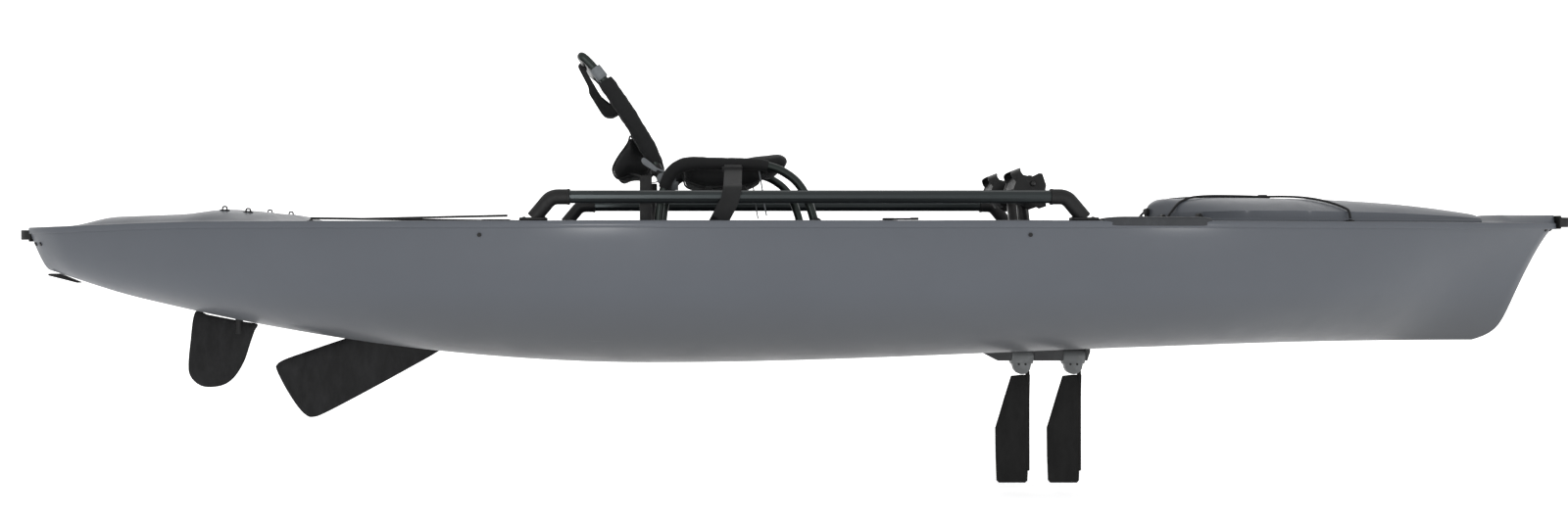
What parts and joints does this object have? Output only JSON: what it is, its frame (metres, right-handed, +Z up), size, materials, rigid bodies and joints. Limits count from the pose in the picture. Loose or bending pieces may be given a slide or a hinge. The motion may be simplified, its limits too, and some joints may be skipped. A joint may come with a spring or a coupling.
{
  "type": "pedal boat",
  "caption": "Sit-on-top fishing kayak driven by pedals and swinging fins under the hull, with a framed seat, side rails, rudder, folding skeg and hatches.",
  "frame": {"origin": "lowest point of the keel, at half the hull's length", "axes": "+X to the bow, +Y to port, +Z up"},
  "size_m": [4.17, 0.965, 1.1384],
  "materials": {
    "hull": "satin",
    "black_plastic": "matte",
    "grip_pad": "matte",
    "rail_tube": "satin",
    "seat_tube": "satin",
    "seat_fabric": "matte",
    "webbing": "matte",
    "cord": "matte",
    "drive_housing": "satin",
    "drum_grey": "satin",
    "blade": "satin",
    "fin_rubber": "matte",
    "steel": "brushed"
  },
  "bodies": {
    "boat": {"hull_shell": "hull", "deck": "hull", "cockpit_tub": "hull", "cargo_well": "hull", "hatch_liner": "black_plastic", "drive_trunk": "hull", "skeg_trunk": "hull", "bow_handle": "black_plastic", "stern_handle": "black_plastic", "keel_guard": "black_plastic", "drain_plug": "black_plastic", "rail_starboard": "rail_tube", "rail_port": "rail_tube", "rail_brackets": "black_plastic", "accessory_boards": "black_plastic", "hull_screws": "black_plastic", "rod_holders": "black_plastic", "rudder_bush": "black_plastic", "deck_pads": "grip_pad", "floor_hatch_tray": "black_plastic", "hatch_hinge_base": "black_plastic", "cord_hooks": "black_plastic", "cargo_cords": "cord", "steering_pods": "black_plastic", "steering_lines": "steel", "drive_spine": "drive_housing", "drum_shaft": "steel", "crank_shaft": "steel", "idler_pulleys": "drum_grey", "drive_chains": "steel", "skeg_pin": "steel", "seat_frame": "seat_tube", "seat_posts": "black_plastic", "seat_pan": "seat_fabric", "seat_front_pad": "seat_fabric", "recline_brackets": "drum_grey", "recline_pins": "steel", "seat_straps": "webbing"},
    "backrest": {"backrest_frame": "seat_tube", "backrest_mesh": "seat_fabric", "lumbar_pad": "seat_fabric", "backrest_strap": "webbing", "backrest_collars": "drum_grey"},
    "steering_handle_starboard": {"steering_handle_starboard": "black_plastic"},
    "steering_handle_port": {"steering_handle_port": "black_plastic"},
    "rudder": {"rudder_blade": "blade", "rudder_post": "steel"},
    "skeg": {"skeg_blade": "blade"},
    "crank_starboard": {"crank_arm_starboard": "black_plastic"},
    "crank_port": {"crank_arm_port": "black_plastic"},
    "pedal_starboard": {"pedal_starboard": "black_plastic"},
    "pedal_port": {"pedal_port": "black_plastic"},
    "drum_front": {"drum_front": "drum_grey"},
    "drum_rear": {"drum_rear": "drum_grey"},
    "fin_front": {"fin_front": "fin_rubber"},
    "fin_rear": {"fin_rear": "fin_rubber"},
    "hatch_lid": {"hatch_lid": "hull", "hatch_cord": "cord", "hatch_pull": "webbing"},
    "floor_hatch_lid": {"floor_hatch_lid": "hull"}
  },
  "joints": [
    {"name": "backrest_recline", "type": "hinge", "parent": "boat", "child": "backrest", "pos_m": [-0.352, 0, 0.478], "axis": [0, 1, 0], "range_deg": [-10, 60]},
    {"name": "rudder_steer", "type": "hinge", "parent": "boat", "child": "rudder", "pos_m": [-1.5, 0, 0.15], "axis": [0, 0, 1], "range_deg": [-40, 40]},
    {"name": "steer_starboard", "type": "hinge", "parent": "boat", "child": "steering_handle_starboard", "pos_m": [0.205, -0.345, 0.37], "axis": [0, 0, 1], "range_deg": [-45, 45]},
    {"name": "steer_port", "type": "hinge", "parent": "boat", "child": "steering_handle_port", "pos_m": [0.205, 0.345, 0.37], "axis": [0, 0, 1], "range_deg": [-45, 45]},
    {"name": "skeg_fold", "type": "hinge", "parent": "boat", "child": "skeg", "pos_m": [-0.93, 0, 0.078], "axis": [0, 1, 0], "range_deg": [-30, 33]},
    {"name": "crank_starboard", "type": "hinge", "parent": "boat", "child": "crank_starboard", "pos_m": [0.626, 0, 0.168], "axis": [0, 1, 0], "range_deg": [-28, 28]},
    {"name": "crank_port", "type": "hinge", "parent": "boat", "child": "crank_port", "pos_m": [0.626, 0, 0.168], "axis": [0, 1, 0], "range_deg": [-28, 28]},
    {"name": "pedal_starboard", "type": "hinge", "parent": "crank_starboard", "child": "pedal_starboard", "pos_m": [0.59464, -0.14, 0.46636], "axis": [0, 1, 0], "range_deg": [-30, 30]},
    {"name": "pedal_port", "type": "hinge", "parent": "crank_port", "child": "pedal_port", "pos_m": [0.59464, 0.14, 0.46636], "axis": [0, 1, 0], "range_deg": [-30, 30]},
    {"name": "drum_front", "type": "hinge", "parent": "boat", "child": "drum_front", "pos_m": [0.7495, 0, 0.008], "axis": [1, 0, 0], "range_deg": [-80, 80]},
    {"name": "drum_rear", "type": "hinge", "parent": "boat", "child": "drum_rear", "pos_m": [0.6105, 0, 0.008], "axis": [1, 0, 0], "range_deg": [-80, 80]},
    {"name": "fin_front_feather", "type": "hinge", "parent": "drum_front", "child": "fin_front", "pos_m": [0.7665, 0, -0.05], "axis": [0, 0, 1], "range_deg": [-35, 35], "stiffness_Nm_per_rad": 0.5},
    {"name": "fin_rear_feather", "type": "hinge", "parent": "drum_rear", "child": "fin_rear", "pos_m": [0.6275, 0, -0.05], "axis": [0, 0, 1], "range_deg": [-35, 35], "stiffness_Nm_per_rad": 0.5},
    {"name": "hatch_lid_hinge", "type": "hinge", "parent": "boat", "child": "hatch_lid", "pos_m": [1.804, 0, 0.383], "axis": [0, 1, 0], "range_deg": [0, 75]},
    {"name": "floor_hatch_hinge", "type": "hinge", "parent": "boat", "child": "floor_hatch_lid", "pos_m": [0.106, 0, 0.14], "axis": [0, 1, 0], "range_deg": [-90, 0]}
  ],
  "couplings": [
    {"joint": "steer_starboard", "follows": "rudder_steer", "ratio": 1},
    {"joint": "steer_port", "follows": "rudder_steer", "ratio": 1},
    {"joint": "crank_port", "follows": "crank_starboard", "ratio": -1},
    {"joint": "drum_front", "follows": "crank_starboard", "ratio": 2.85},
    {"joint": "drum_rear", "follows": "crank_starboard", "ratio": -2.85}
  ]
}
